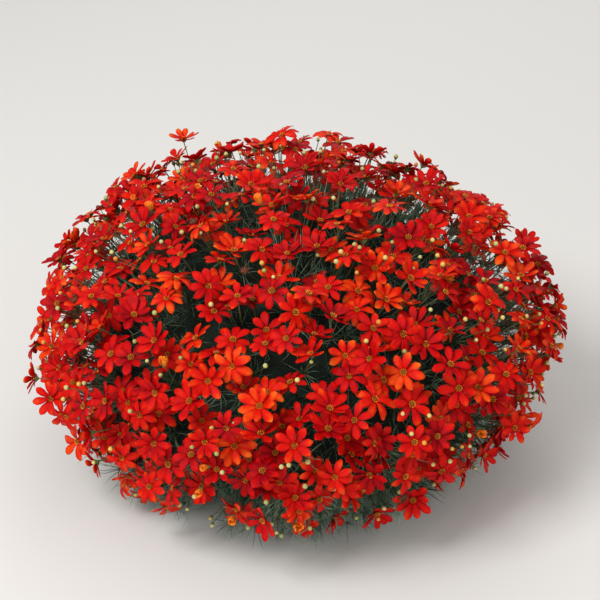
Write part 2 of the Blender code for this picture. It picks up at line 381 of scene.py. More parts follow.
def core_ledge(band):
    """Rise that a bunch's core surely reaches at its corners, where its flat top edge dips."""
    _, _, high, count = BANDS[band]
    return math.degrees(math.atan(math.tan(math.radians(high)) * math.cos(math.pi / count)))


def bowed(rise, bow):
    """Rise of a flat-sided core's edge where it bows up between its corners."""
    return math.degrees(math.atan(math.tan(math.radians(rise)) * bow))


def stem_root(tip, cell):
    """Where a stalk that carries tip starts, well inside its bunch's core."""
    band, place = cell
    out = (tip - CROWN_CENTRE).normalized()
    middle = cell_centre(band, place)
    direction = (out * 0.55 + middle * 0.45).normalized()
    rise = math.degrees(math.asin(direction.z))
    azimuth = math.degrees(math.atan2(direction.y, direction.x))
    if band == len(BANDS):
        rise = max(rise, CAP_ANGLE + ROOT_MARGIN)
    else:
        step = 360 / BANDS[band][3]
        start = band * step / 3 + place * step
        side = ROOT_MARGIN / math.cos(math.radians(rise))
        within = min(max((azimuth - start) % 360, side), step - side)
        azimuth = start + within
        bow = math.cos(math.radians(within - step / 2)) / math.cos(math.radians(step / 2))
        lowest = bowed(BANDS[band][1], bow) + ROOT_MARGIN
        rise = min(max(rise, lowest), bowed(core_ledge(band), bow) - ROOT_MARGIN)
    direction = towards(azimuth, rise)
    return CROWN_CENTRE + direction * reach(direction) * (CORE_SHARE - 0.09)


def star_mesh(seat, swell=0.0):
    """Points and faces of a bloom: a star of pointed petals round a raised centre, on a three-sided stalk."""
    centre, normal, spin, radius, cup, root, petals = seat
    turn = turned_to(normal, spin)
    local = [Vector((0, 0, 0.0022 + swell))]
    for i in range(2 * petals):
        angle = math.pi * i / petals
        out = (NOTCH_SHARE if i % 2 else 1.0) * radius + swell
        rise = 0.0 if i % 2 else cup
        local.append(Vector((out * math.cos(angle), out * math.sin(angle), rise)))
    for i in range(3):
        angle = 2 * math.pi * i / 3
        neck = STALK_RADIUS * 1.5 + swell
        local.append(Vector((neck * math.cos(angle), neck * math.sin(angle), -0.0030 - swell)))
    points = [centre + turn @ p for p in local]
    neck_centre = sum(points[-3:], Vector()) / 3
    points += [root + (neck - neck_centre) * STALK_TAPER for neck in points[-3:]]
    ring = list(range(1, 2 * petals + 1))
    neck = [2 * petals + 1 + i for i in range(3)]
    base = [i + 3 for i in neck]
    faces = [(0, ring[i], ring[(i + 1) % len(ring)]) for i in range(len(ring))]
    faces += between(ring, neck)
    faces += between(neck, base)
    faces.append(tuple(reversed(base)))
    return points, faces


def between(upper, lower):
    """Triangles that join two rings, each shared out evenly to the other, facing outwards."""
    faces = []
    i = j = 0
    while i < len(upper) or j < len(lower):
        if j >= len(lower) or (i < len(upper) and (i + 0.5) / len(upper) <= (j + 0.5) / len(lower)):
            faces.append((upper[i % len(upper)], lower[j % len(lower)], upper[(i + 1) % len(upper)]))
            i += 1
        else:
            faces.append((upper[i % len(upper)], lower[j % len(lower)], lower[(j + 1) % len(lower)]))
            j += 1
    return faces


def bud_mesh(tip, root, swell=0.0):
    """A round bud on its stalk."""
    along = (tip - root).normalized()
    turn = turned_to(along, 0.0)
    rings = ((root, STALK_RADIUS), (tip - along * 0.0040, STALK_RADIUS * 1.1), (tip, BUD_RADIUS))
    points = []
    for at, thick in rings:
        for i in range(3):
            angle = 2 * math.pi * i / 3
            out = thick + swell
            points.append(at + turn @ Vector((out * math.cos(angle), out * math.sin(angle), 0)))
    points.append(tip + along * (0.0035 + swell))
    faces = [(2, 1, 0)]
    faces += between([3, 4, 5], [0, 1, 2])
    faces += between([6, 7, 8], [3, 4, 5])
    faces += [(9, 6, 7), (9, 7, 8), (9, 8, 6)]
    return points, faces


def leaf_mesh(tip, root, swell=0.0):
    """One three-sided thread leaf, from its root to its point."""
    turn = turned_to((tip - root).normalized(), 0.0)
    points = []
    for i in range(3):
        angle = 2 * math.pi * i / 3
        out = LEAF_RADIUS + swell
        points.append(root + turn @ Vector((out * math.cos(angle), out * math.sin(angle), 0)))
    points.append(tip)
    return points, [(2, 1, 0), (3, 0, 1), (3, 1, 2), (3, 2, 0)]


class Clump:
    """Every piece placed so far, which a new one has to clear."""

    def __init__(self):
        self.trees = []
        self.pieces = []

    def fits(self, points, faces, at):
        if min(p.z for p in points) < GROUND_CLEARANCE:
            return None
        tree = BVHTree.FromPolygons(points, faces)
        for place, other in self.trees:
            if (place - at).length < 0.085 and tree.overlap(other):
                return None
        return tree

    def add(self, kind, seat, cell, tree, at):
        self.trees.append((at, tree))
        self.pieces.append((kind, seat, cell))


def random_level(rng):
    """A level angle drawn evenly over the dome's surface."""
    lowest = math.asin((LOWEST_LEVEL - WIDEST_LEVEL) / dome_axes(-1)[1])
    while True:
        level = rng.uniform(lowest, math.pi / 2)
        wide, tall = dome_axes(level)
        area = math.cos(level) * math.hypot(wide * math.sin(level), tall * math.cos(level)) / wide
        if rng.random() < area:
            return level


def bloom_seat(rng, azimuth, level, inset):
    """Place, facing, spin, radius, cup, root and number of petals of one bloom."""
    point, normal = dome_point(azimuth, level, inset)
    wobble = Vector((rng.uniform(-1, 1), rng.uniform(-1, 1), rng.uniform(-1, 1))) * 0.52
    facing = (normal * 0.72 + Vector((0, 0, 0.42)) + wobble).normalized()
    radius = BLOOM_RADIUS * rng.uniform(0.84, 1.06)
    cup = rng.uniform(-0.006, 0.009)
    cell = cell_of(point)
    root = stem_root(point, cell)
    along = (point - root).normalized()
    nod = facing.angle(along)
    if nod > MOST_NOD:
        facing = along.slerp(facing, MOST_NOD / nod)
    petals = 3 if inset > DEEP_INSET else 4
    return (point, facing, rng.uniform(0, math.tau), radius, cup, root, petals), cell


def place_blooms(clump, rng):
    spots = []
    for azimuth, level, further in STRAY_BLOOMS:
        seat, cell = bloom_seat(rng, math.radians(azimuth), math.radians(level), -further)
        points, faces = star_mesh(seat, 0.0005)
        tree = clump.fits(points, faces, seat[0])
        if tree:
            clump.add("bloom", seat, cell, tree, seat[0])
            spots.append(seat[0])
    offers = []
    for _ in range(120 * BLOOM_COUNT):
        if len(spots) >= BLOOM_COUNT:
            break
        level = random_level(rng)
        azimuth = rng.uniform(-math.pi, math.pi)
        point, _ = dome_point(azimuth, level)
        sparse = 0.94 if point.z < 0.048 else 0.60 if point.z < 0.085 else 0.0
        if thinness(point) > 3.1 or rng.random() < sparse:
            continue
        depth = rng.choice((0.0, 0.0, 0.011, 0.022)) + rng.uniform(-0.005, 0.005)
        seat, cell = bloom_seat(rng, azimuth, level, depth)
        points, faces = star_mesh(seat, 0.0005)
        tree = clump.fits(points, faces, seat[0])
        if tree:
            room = min((point - spot).length for spot in spots)
            offers.append((room, seat, cell, tree, point))
        if len(offers) == OFFERS:
            _, seat, cell, tree, point = max(offers, key=lambda offer: offer[0])
            clump.add("bloom", seat, cell, tree, seat[0])
            spots.append(point)
            offers = []


def place_buds(clump, rng):
    placed = 0
    for _ in range(40 * BUD_COUNT):
        if placed >= BUD_COUNT:
            break
        azimuth = rng.uniform(-math.pi, math.pi)
        point, _ = dome_point(azimuth, random_level(rng), rng.uniform(-0.006, 0.010))
        cell = cell_of(point)
        root = stem_root(point, cell)
        points, faces = bud_mesh(point, root, 0.0004)
        tree = clump.fits(points, faces, point)
        if tree:
            clump.add("bud", (point, root), cell, tree, point)
            placed += 1


def place_leaves(clump, rng):
    placed = 0
    for _ in range(40 * LEAF_COUNT):
        if placed >= LEAF_COUNT:
            break
        azimuth = rng.uniform(-math.pi, math.pi)
        tip, _ = dome_point(azimuth, random_level(rng), rng.uniform(0.006, 0.034))
        cell = cell_of(tip)
        root = stem_root(tip, cell)
        points, faces = leaf_mesh(tip, root, 0.0004)
        tree = clump.fits(points, faces, tip)
        if tree:
            clump.add("leaf", (tip, root), cell, tree, tip)
            placed += 1


def ray(frame_of, length):
    """Places a unit model that points up +Z along a line, and stretches it to the line's length."""
    return frame_of @ Matrix.Diagonal((1.0, 1.0, length, 1.0))


def stood(at, direction, spin=0.0, size=1.0):
    """Places a model that points up +Z at a point, along a direction."""
    turn = turned_to(direction, spin).to_4x4()
    return Matrix.Translation(at) @ turn @ Matrix.Scale(size, 4)


def grown(name, sets):
    """One piece of many copies, each with its own mesh: sets holds (model, [(matrix, tone), ...])."""
    copies = []
    for model, places in sets:
        for matrix, tone in places:
            mesh = model.data.copy()
            mesh.transform(matrix)
            shade = mesh.attributes.new("tone", "FLOAT", "POINT")
            shade.data.foreach_set("value", [tone] * len(mesh.vertices))
            copy = bpy.data.objects.new(name, mesh)
            bpy.context.scene.collection.objects.link(copy)
            copies.append(copy)
    bpy.ops.object.select_all(action="DESELECT")
    for copy in copies:
        copy.select_set(True)
    bpy.context.view_layer.objects.active = copies[0]
    bpy.ops.object.join()
    piece = bpy.context.object
    piece.name = name
    piece.data.name = name
    return piece


BAND_NAMES = ("skirt", "flank", "shoulder", "upper", "cap")
BAND_NODES = [[node for node in frame["nodes"] if node.startswith(name + "_bunch")] for name in BAND_NAMES]
rng = random.Random(SEED)
clump = Clump()
place_blooms(clump, rng)
place_buds(clump, rng)
place_leaves(clump, rng)
blooms = [(seat, cell[0]) for kind, seat, cell in clump.pieces if kind == "bloom"]
buds = [seat for kind, seat, _ in clump.pieces if kind == "bud"]

# Blooms in the layer under the outer ones, where there is room between them
UNDER_COUNT = 130
UNDER_TRIES = 5000
UNDER_SPACING = 0.021
UNDER_LOWEST = 0.100
UNDER_INSETS = (0.012, 0.034)
under_rng = random.Random(29)
for _ in range(UNDER_TRIES):
    azimuth = under_rng.uniform(-math.pi, math.pi)
    seat, cell = bloom_seat(under_rng, azimuth, random_level(under_rng), under_rng.uniform(*UNDER_INSETS))
    points, faces = star_mesh(seat)
    roomy = all((seat[0] - other[0]).length > UNDER_SPACING for other, _ in blooms)
    tree = clump.fits(points, faces, seat[0]) if roomy and seat[0].z > UNDER_LOWEST else None
    if tree and len(blooms) < BLOOM_COUNT + UNDER_COUNT:
        clump.add("bloom", seat, cell, tree, seat[0])
        blooms.append((seat, cell[0]))

# One stem of unit length, bowed towards +X
STEM_RADIUS = 0.0011
STEM_BOW = 0.012
STEM_STEPS = 6


def bow_at(share):
    """How far a stem of unit length has bowed out at this share of it."""
    return 4 * STEM_BOW * share * (1 - share)


bpy.ops.object.select_all(action="DESELECT")
bpy.ops.mesh.primitive_circle_add(vertices=4, radius=STEM_RADIUS, fill_type="NGON")
stem_model = start_piece("stem_model")
bpy.ops.mesh.select_all(action="SELECT")
for _ in range(STEM_STEPS):
    bpy.ops.mesh.extrude_region_move(TRANSFORM_OT_translate={"value": (0, 0, 1 / STEM_STEPS)})
    bpy.ops.transform.resize(value=(0.93, 0.93, 1.0), center_override=(0, 0, 0))
for step in range(1, STEM_STEPS):
    share = step / STEM_STEPS
    pick(stem_model, lambda point: abs(point.z - share) < 0.01)
    bpy.ops.transform.translate(value=(bow_at(share), 0, 0))
bpy.ops.mesh.select_all(action="SELECT")
bpy.ops.mesh.normals_make_consistent(inside=False)
bpy.ops.object.mode_set(mode="OBJECT")
bpy.ops.object.shade_smooth()

stem_green, paint, shader = new_finish("stem green", 0.55)
tone = paint.tone()
mottle = paint.noise(180.0, 2.0)
ripe = paint.node("ShaderNodeValToRGB", {"stops": (
    (0.0, (0.045, 0.070, 0.028)),
    (0.6, (0.085, 0.100, 0.038)),
    (1.0, (0.200, 0.130, 0.055)),
)}, {0: tone * 0.7 + mottle * 0.3})
dress(paint, shader, ripe)
coat(stem_model, stem_green)


def stem_place(tip, spin):
    """Where a stem that ends at tip lies, from the crown's surface."""
    direction = (tip - CROWN_CENTRE).normalized()
    start = CROWN_CENTRE + direction * CROWN_RADIUS * 0.8
    return ray(stood(start, direction, spin), (tip - start).length)


def on_stem(matrix, share):
    """The point at this share of a stem's length."""
    return matrix @ Vector((bow_at(share), 0, share))


# Leafy ends without a bloom: how many each band has, and how far out they reach as a share of the dome
LEAFY_COUNTS = (250, 60, 36, 20, 8)
LEAFY_TRIES = 6000
LOW_RISE = 8.0
LOW_REACH = (0.92, 1.0)
HIGH_REACH = (0.84, 0.92)
NECK_LENGTH = 0.0045

leafy_rng = random.Random(21)
bloom_stems = [[] for _ in BAND_NAMES]
for seat, band in blooms:
    neck = seat[0] - seat[1] * NECK_LENGTH
    bloom_stems[band].append((stem_place(neck, leafy_rng.uniform(0, math.tau)), leafy_rng.random()))
leafy_stems = [[] for _ in BAND_NAMES]
for _ in range(LEAFY_TRIES):
    azimuth = leafy_rng.uniform(-180, 180)
    rise = math.degrees(math.asin(leafy_rng.uniform(-0.14, 1.0)))
    direction = towards(azimuth, rise)
    share = leafy_rng.uniform(*(LOW_REACH if rise < LOW_RISE else HIGH_REACH))
    tip = CROWN_CENTRE + direction * reach(direction) * share
    band = cell_of(tip)[0]
    if tip.z > 0.006 and len(leafy_stems[band]) < LEAFY_COUNTS[band]:
        leafy_stems[band].append((stem_place(tip, leafy_rng.uniform(0, math.tau)), leafy_rng.random()))
every_stem = sum(bloom_stems, []) + sum(leafy_stems, [])
stems = grown("stems", [(stem_model, every_stem)])
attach(stems, "root")

# The thread leaves. Every stem carries whorls of hair-fine dark leaves, each divided into threads under a
# millimetre wide, that curve up and out and fill the clump right down to the soil.
THREAD_RADIUS = 0.00046
THREAD_LENGTH = 0.034
THREAD_STEPS = 2
WHORL_THREADS = 11
BLOOM_STEM_WHORLS = (0.60, 0.72, 0.84)
LEAFY_STEM_WHORLS = (0.62, 0.74, 0.87, 0.99)
SOIL_CLEARANCE = 0.003


def thread(lean, curl, size):
    """Adds one three-sided thread to the piece being edited, extruded from root to point along a curve."""
    bpy.ops.mesh.select_all(action="DESELECT")
    bpy.ops.mesh.primitive_circle_add(vertices=3, radius=THREAD_RADIUS, fill_type="NGON")
    angle = lean
    step = THREAD_LENGTH * size / THREAD_STEPS
    for _ in range(THREAD_STEPS):
        forward = (step * math.sin(angle), 0, step * math.cos(angle))
        bpy.ops.mesh.extrude_region_move(TRANSFORM_OT_translate={"value": forward})
        angle += curl
    bpy.ops.mesh.merge(type="CENTER")
    bpy.ops.mesh.select_linked()


def whorl_model(name, seed):
    """A ring of threads round a stem, the outer ones leaning out and the inner ones standing up."""
    draw = random.Random(seed)
    bpy.ops.object.select_all(action="DESELECT")
    bpy.ops.mesh.primitive_circle_add(vertices=3, radius=THREAD_RADIUS, fill_type="NGON")
    model = start_piece(name)
    bpy.ops.mesh.select_all(action="SELECT")
    bpy.ops.mesh.delete(type="VERT")
    for number in range(WHORL_THREADS):
        outer = number % 2
        lean = draw.uniform(0.85, 1.55) if outer else draw.uniform(0.15, 0.80)
        thread(lean, draw.uniform(-0.60, 0.30), draw.uniform(0.7, 1.15))
        turn = math.tau * number / WHORL_THREADS + draw.uniform(-0.25, 0.25)
        bpy.ops.transform.rotate(value=turn, orient_axis="Z", center_override=(0, 0, 0))
    bpy.ops.mesh.select_all(action="SELECT")
    bpy.ops.mesh.normals_make_consistent(inside=False)
    bpy.ops.object.mode_set(mode="OBJECT")
    bpy.ops.object.shade_smooth()
    return model


leaf_green, paint, shader = new_finish("leaf green", 0.50)
tone = paint.tone()
drift = paint.noise(28.0, 3.0)
blade = paint.node("ShaderNodeValToRGB", {"stops": (
    (0.15, (0.024, 0.070, 0.040)),
    (0.40, (0.070, 0.155, 0.094)),
    (0.70, (0.180, 0.290, 0.185)),
    (1.0, (0.380, 0.470, 0.310)),
)}, {0: tone * 0.62 + drift * 0.45})
dress(paint, shader, blade, 0.40 + drift * 0.25)
whorls = [whorl_model("whorl_model_" + str(seed), seed) for seed in (1, 2, 3)]
for model in whorls:
    coat(model, leaf_green)

for band, name in enumerate(BAND_NAMES):
    sets = [(model, []) for model in whorls]
    whorled = [(matrix, BLOOM_STEM_WHORLS) for matrix, _ in bloom_stems[band]]
    whorled += [(matrix, LEAFY_STEM_WHORLS) for matrix, _ in leafy_stems[band]]
    for matrix, shares in whorled:
        for share in shares:
            share += leafy_rng.uniform(-0.04, 0.01)
            at = on_stem(matrix, share)
            along = (on_stem(matrix, share + 0.01) - at).normalized()
            wobble = Vector([leafy_rng.uniform(-0.6, 0.6) for _ in range(3)])
            size = leafy_rng.uniform(0.8, 1.15)
            where = stood(at, (along + wobble).normalized(), leafy_rng.uniform(0, math.tau), size)
            leafy_rng.choice(sets)[1].append((where, leafy_rng.random()))
    leaves = grown(name + "_leaves", sets)
    bpy.ops.object.mode_set(mode="EDIT")
    bpy.ops.mesh.select_mode(type="VERT")
    pick(leaves, lambda point: point.z < SOIL_CLEARANCE)
    bpy.ops.transform.resize(value=(1.0, 1.0, 0.02), center_override=(0, 0, SOIL_CLEARANCE))
    bpy.ops.object.mode_set(mode="OBJECT")
    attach(leaves, "root")
    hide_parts(*BAND_NODES[band])

# The shaded heart. Behind the outer leaves the foliage packs together into one dark mass that no light gets
# through. It is a rough inner dome, furrowed like bundled threads, whose near-black colour is painted shade:
# the shade deep in the clump, seen only between the leaves.
HEART_RADIUS = 0.228
HEART_HALF_HEIGHT = 0.146
HEART_LEVEL = 0.132
HEART_FOOT = 0.014
TUFT_SIZE = 0.020
TUFT_DEPTH = 0.030

bpy.ops.object.select_all(action="DESELECT")
bpy.ops.mesh.primitive_ico_sphere_add(subdivisions=5, radius=1.0, location=(0, 0, 0))
heart = start_piece("shaded_heart")
bpy.ops.mesh.select_all(action="SELECT")
bpy.ops.transform.resize(value=(HEART_RADIUS, HEART_RADIUS, HEART_HALF_HEIGHT), center_override=(0, 0, 0))
bpy.ops.transform.translate(value=(0, 0, HEART_LEVEL))
bpy.ops.mesh.bisect(plane_co=(0, 0, HEART_FOOT), plane_no=(0, 0, -1), clear_outer=True, use_fill=True)
bpy.ops.object.mode_set(mode="OBJECT")
tufts = bpy.data.textures.new("tufts", "CLOUDS")
tufts.noise_scale = TUFT_SIZE
rough = heart.modifiers.new("tufts", "DISPLACE")
rough.texture = tufts
rough.strength = TUFT_DEPTH
rough.texture_coords = "LOCAL"
bpy.ops.object.modifier_apply(modifier=rough.name)
# The heart's near-black to dark green colour is painted shade; the same noise that mixes it gives its relief.
painted_heart_shade, paint, shader = new_finish("painted heart shade", 0.95)
bundle = paint.noise(420.0, 3.0)
dress(paint, shader, bundle.mixed((0.002, 0.004, 0.003, 1), (0.020, 0.034, 0.022, 1)), None, bundle, 0.004)
coat(heart, painted_heart_shade)
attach(heart, "root")

# The petals. A bloom opens about eight thin oblong petals, blunt at the tip, with two shallow folds. They are
# orange-red, deeper towards the disc and at the edges, lighter at the tips and underneath. Each is cut from a
# flat panel, bent, and copied round by a spin.

# Where the rows of a petal's points lie and its half width there, in bloom radii
PETAL_ROWS = ((0.10, 0.060), (0.34, 0.140), (0.58, 0.215), (0.80, 0.210), (1.0, 0.110))
PETAL_ROOT = 0.10
PETAL_COLUMNS = 4
PETAL_TWIST = math.radians(9)
PETAL_THICKNESS = 0.016
TIP_ROUNDING = 0.060
FOLD_DEPTH = 0.022
EDGE_RISE = 0.028


def bloom_model(name, petals, lift, curl, seed, spread=1.0):
    """A ring of petals of unit radius.

    Lift is how far their tips rise and curl how much they bow. Spread is below one where they stand together.
    """
    draw = random.Random(seed)
    steps = len(PETAL_ROWS) - 1
    bpy.ops.object.select_all(action="DESELECT")
    bpy.ops.mesh.primitive_grid_add(x_subdivisions=steps, y_subdivisions=PETAL_COLUMNS - 1, size=2)
    model = start_piece(name)
    aside = 3
    for row, (out, half) in enumerate(PETAL_ROWS):
        at = -1 + 2 * row / steps
        pick(model, lambda point: abs(point.x - at) < 0.01)
        bpy.ops.transform.resize(value=(1.0, half, 1.0), center_override=(0, 0, 0))
        share = (out - PETAL_ROOT) / (1 - PETAL_ROOT)
        rise = lift * share + curl * share * (1 - share) * 2
        bpy.ops.transform.translate(value=(out - at + aside, 0, rise))
    bpy.ops.mesh.select_all(action="SELECT")
    bpy.ops.transform.translate(value=(-aside, 0, 0))
    pick(model, lambda point: point.x > 0.99 and abs(point.y) > 0.07)
    bpy.ops.transform.translate(value=(-TIP_ROUNDING, 0, 0))
    pick(model, lambda point: 0.2 < point.x < 0.99 and 0.03 < abs(point.y) < 0.10)
    bpy.ops.transform.translate(value=(0, 0, -FOLD_DEPTH))
    pick(model, lambda point: point.x > 0.2 and abs(point.y) > 0.11)
    bpy.ops.transform.translate(value=(0, 0, EDGE_RISE))
    bpy.ops.mesh.select_all(action="SELECT")
    bpy.ops.transform.resize(value=(spread, 1.0, 1.0), center_override=(PETAL_ROOT, 0, 0))
    bpy.ops.transform.rotate(value=PETAL_TWIST, orient_axis="X", center_override=(0, 0, 0))
    angle = math.tau * (petals - 1) / petals
    bpy.ops.mesh.spin(steps=petals - 1, angle=angle, dupli=True, center=(0, 0, 0), axis=(0, 0, 1))
    count = len(PETAL_ROWS) * PETAL_COLUMNS
    for petal in range(petals):
        net = bmesh.from_edit_mesh(model.data)
        net.verts.ensure_lookup_table()
        ring = range(count * petal, count * (petal + 1))
        middle = sum((net.verts[i].co for i in ring), Vector()) / count
        for point in net.verts:
            point.select = point.index in ring
        net.select_flush_mode()
        bmesh.update_edit_mesh(model.data)
        size = draw.uniform(0.84, 1.06)
        bpy.ops.transform.resize(value=(size, size, 1.0), center_override=(0, 0, 0))
        bpy.ops.transform.translate(value=(0, 0, draw.uniform(-0.05, 0.05)))
        bpy.ops.transform.rotate(value=draw.uniform(-0.12, 0.12), orient_axis="Z", center_override=(0, 0, 0))
        tip_up = draw.uniform(-0.14, 0.26)
        middle.normalize()
        for axis, part in (("X", -middle.y), ("Y", middle.x)):
            bpy.ops.transform.rotate(value=tip_up * part, orient_axis=axis, center_override=(0, 0, 0))
    bpy.ops.mesh.select_all(action="SELECT")
    bpy.ops.mesh.normals_make_consistent(inside=False)
    bpy.ops.object.mode_set(mode="OBJECT")
    bpy.ops.object.shade_smooth()
    skin = model.modifiers.new("petal thickness", "SOLIDIFY")
    skin.thickness = PETAL_THICKNESS
    skin.offset = -1.0
    skin.material_offset = 1
    bpy.ops.object.modifier_apply(modifier=skin.name)
    return model


def veined(paint, across):
    """Fine veins that run along a petal, as a value from 0 to 1."""
    return paint.maths("SINE", across * 46) * 0.5 + 0.5


petal_face, paint, shader = new_finish("petal face", 0.46, 0.09)
tone = paint.tone()
length = paint.petal_share(0)
across = paint.petal_share(1)
edge = abs(across - 0.5) * 2
drift = paint.noise(70.0, 2.0)
veins = veined(paint, across)
warmth = tone * 0.50 + drift * 0.90 + length * length * 0.30 - edge * edge * 0.12 - 0.38
petal_red = paint.node("ShaderNodeValToRGB", {"stops": (
    (0.0, (0.26, 0.000, 0.004)),
    (0.26, (0.50, 0.001, 0.002)),
    (0.52, (0.66, 0.008, 0.001)),
    (0.78, (0.82, 0.075, 0.004)),
    (1.0, (0.92, 0.230, 0.018)),
)}, {0: warmth})
streaked = (veins * 0.14).mixed(petal_red, (0.40, 0.001, 0.002, 1))
dress(paint, shader, streaked, 0.40 + drift * 0.15, veins, 0.0002)

petal_back, paint, shader = new_finish("petal back", 0.55, 0.10)
tone = paint.tone()
across = paint.petal_share(1)
veins = veined(paint, across)
back = paint.node("ShaderNodeValToRGB", {"stops": (
    (0.0, (0.55, 0.012, 0.004)),
    (0.5, (0.80, 0.080, 0.010)),
    (1.0, (0.88, 0.240, 0.035)),
)}, {0: tone * 0.8 + veins * 0.2})
dress(paint, shader, back)

# Petals of each form of bloom, how far their tips rise in bloom radii, and the bow along them
BLOOM_FORMS = (
    (8, -0.22, 0.30),
    (8, -0.05, 0.16),
    (7, 0.08, 0.10),
    (8, 0.20, 0.04),
    (9, 0.32, -0.06),
)
bloom_models = []
for number, (petals, lift, curl) in enumerate(BLOOM_FORMS):
    bloom_models.append(bloom_model("bloom_model_" + str(number), petals, lift, curl, number))
for model in bloom_models:
    coat(model, petal_face, petal_back)

tone_rng = random.Random(5)
bloom_places = [[] for _ in BAND_NAMES]
for seat, band in blooms:
    at, facing, spin, radius, cup, _, _ = seat
    bloom_places[band].append((stood(at, facing, spin, radius), tone_rng.random(), cup / radius))
for band, name in enumerate(BAND_NAMES):
    sets = [(model, []) for model in bloom_models]
    for matrix, shade, rise in bloom_places[band]:
        nearest = min(range(len(BLOOM_FORMS)), key=lambda i: abs(BLOOM_FORMS[i][1] - rise))
        sets[nearest][1].append((matrix, shade))
    petals = grown(name + "_petals", [row for row in sets if row[1]])
    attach(petals, "root")
    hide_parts(*BAND_NODES[band])

# The discs. In the middle of each bloom sits a small dark red-brown button, ringed by golden florets. The
# button is a flattened ball and each floret a little leaning cone. Sizes are in bloom radii.
DISC_RADIUS = 0.120
DISC_FLATNESS = 0.62
FLORET_RADIUS = 0.044
FLORET_HEIGHT = 0.100
FLORET_MIDDLE = (0.136, 0, 0.088)
FLORET_LEAN = math.radians(24)
FLORET_COUNT = 9

bpy.ops.object.select_all(action="DESELECT")
bpy.ops.mesh.primitive_uv_sphere_add(segments=7, ring_count=4, radius=DISC_RADIUS, location=(0, 0, 0))
disc_model = start_piece("disc_model")
bpy.ops.mesh.select_all(action="SELECT")
bpy.ops.transform.resize(value=(1.0, 1.0, DISC_FLATNESS), center_override=(0, 0, 0))
bpy.ops.object.mode_set(mode="OBJECT")
disc_brown, paint, shader = new_finish("disc brown", 0.70, 0.10)
grain = paint.noise(1400.0, 1.0)
dress(paint, shader, grain.mixed((0.100, 0.022, 0.004, 1), (0.320, 0.110, 0.014, 1)), None, grain, 0.0004)
coat(disc_model, disc_brown)

bpy.ops.object.select_all(action="DESELECT")
bpy.ops.mesh.primitive_cone_add(
    vertices=3, radius1=FLORET_RADIUS, radius2=0.0, depth=FLORET_HEIGHT, location=FLORET_MIDDLE
)
floret_model = start_piece("floret_model")
bpy.ops.mesh.select_all(action="SELECT")
bpy.ops.transform.rotate(value=-FLORET_LEAN, orient_axis="Y", center_override=(0.135, 0, 0.05))
angle = math.tau * (FLORET_COUNT - 1) / FLORET_COUNT
bpy.ops.mesh.spin(steps=FLORET_COUNT - 1, angle=angle, dupli=True, center=(0, 0, 0), axis=(0, 0, 1))
bpy.ops.object.mode_set(mode="OBJECT")
bpy.ops.object.transform_apply(location=True, rotation=True, scale=True)
floret_gold, paint, shader = new_finish("floret gold", 0.55, 0.15)
grain = paint.noise(900.0, 1.0)
dress(paint, shader, grain.mixed((0.52, 0.150, 0.010, 1), (0.82, 0.420, 0.040, 1)))
coat(floret_model, floret_gold)
every_bloom = [(matrix, shade) for row in bloom_places for matrix, shade, _ in row]
discs = grown("discs", [(disc_model, every_bloom), (floret_model, every_bloom)])
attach(discs, "root")

# The calyxes. A green cup of pointed bracts holds each bloom on the end of its stem. The cup is a cone, and
# every other point of its rim is drawn out into a bract. Sizes are in bloom radii.
CALYX_FOOT = 0.055
CALYX_RIM = 0.150
CALYX_DEPTH = 0.20
BRACT_REACH = 1.7

bpy.ops.object.select_all(action="DESELECT")
bpy.ops.mesh.primitive_cone_add(
    vertices=8, radius1=CALYX_FOOT, radius2=CALYX_RIM, depth=CALYX_DEPTH, location=(0, 0, -0.125)
)
calyx_model = start_piece("calyx_model")
bpy.ops.object.mode_set(mode="OBJECT")
bpy.ops.object.transform_apply(location=True, rotation=True, scale=True)
bpy.ops.object.mode_set(mode="EDIT")
pick(calyx_model, lambda point: point.z > -0.05 and abs(math.sin(2 * math.atan2(point.y, point.x))) > 0.9)
bpy.ops.transform.resize(value=(BRACT_REACH, BRACT_REACH, 1.0), center_override=(0, 0, 0))
bpy.ops.object.mode_set(mode="OBJECT")
calyx_green, paint, shader = new_finish("calyx green", 0.55)
tone = paint.tone()
mottle = paint.noise(300.0, 2.0)
dress(paint, shader, (tone * 0.5 + mottle * 0.5).mixed((0.040, 0.070, 0.020, 1), (0.170, 0.180, 0.055, 1)))
coat(calyx_model, calyx_green)
calyxes = grown("calyxes", [(calyx_model, every_bloom)])
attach(calyxes, "root")

# The buds. Round pale yellow-green buds, five millimetres across, stand on thin branches of the stems among
# the blooms. Each is a little ball, pinched at the top, in a green cup.
BALL_RADIUS = 0.0025
BALL_PINCH = 0.0005
CUP_FOOT = 0.0008
CUP_RIM = 0.0026
CUP_DEPTH = 0.0030
BUD_TRIES = 260
BUD_LOWEST = 0.020
BUD_SPACING = 0.008

bud_rng = random.Random(11)
bud_spots = []
for tip, root in buds:
    bud_spots.append((tip, (tip - root).normalized()))
for _ in range(BUD_TRIES):
    azimuth = bud_rng.uniform(-math.pi, math.pi)
    tip, normal = dome_point(azimuth, random_level(bud_rng), bud_rng.uniform(-0.008, 0.006))
    if tip.z > BUD_LOWEST and all((tip - seat[0]).length > BUD_SPACING for seat, _ in blooms):
        lean = Vector([bud_rng.uniform(-0.35, 0.35) for _ in range(3)])
        bud_spots.append((tip, (normal + Vector((0, 0, 0.5)) + lean).normalized()))
bpy.ops.object.select_all(action="DESELECT")
bpy.ops.mesh.primitive_uv_sphere_add(segments=8, ring_count=6, radius=BALL_RADIUS, location=(0, 0, 0))
bud_model = start_piece("bud_model")
pick(bud_model, lambda point: point.z > 0.88 * BALL_RADIUS)
bpy.ops.transform.translate(value=(0, 0, BALL_PINCH))
bpy.ops.object.mode_set(mode="OBJECT")
bpy.ops.object.shade_smooth()
bud_yellow, paint, shader = new_finish("bud yellow", 0.40)
tone = paint.tone()
ripening = paint.node("ShaderNodeValToRGB", {"stops": (
    (0.0, (0.330, 0.350, 0.100)),
    (0.6, (0.620, 0.580, 0.220)),
    (0.9, (0.700, 0.440, 0.080)),
    (1.0, (0.700, 0.220, 0.020)),
)}, {0: tone})
dress(paint, shader, ripening)
coat(bud_model, bud_yellow)

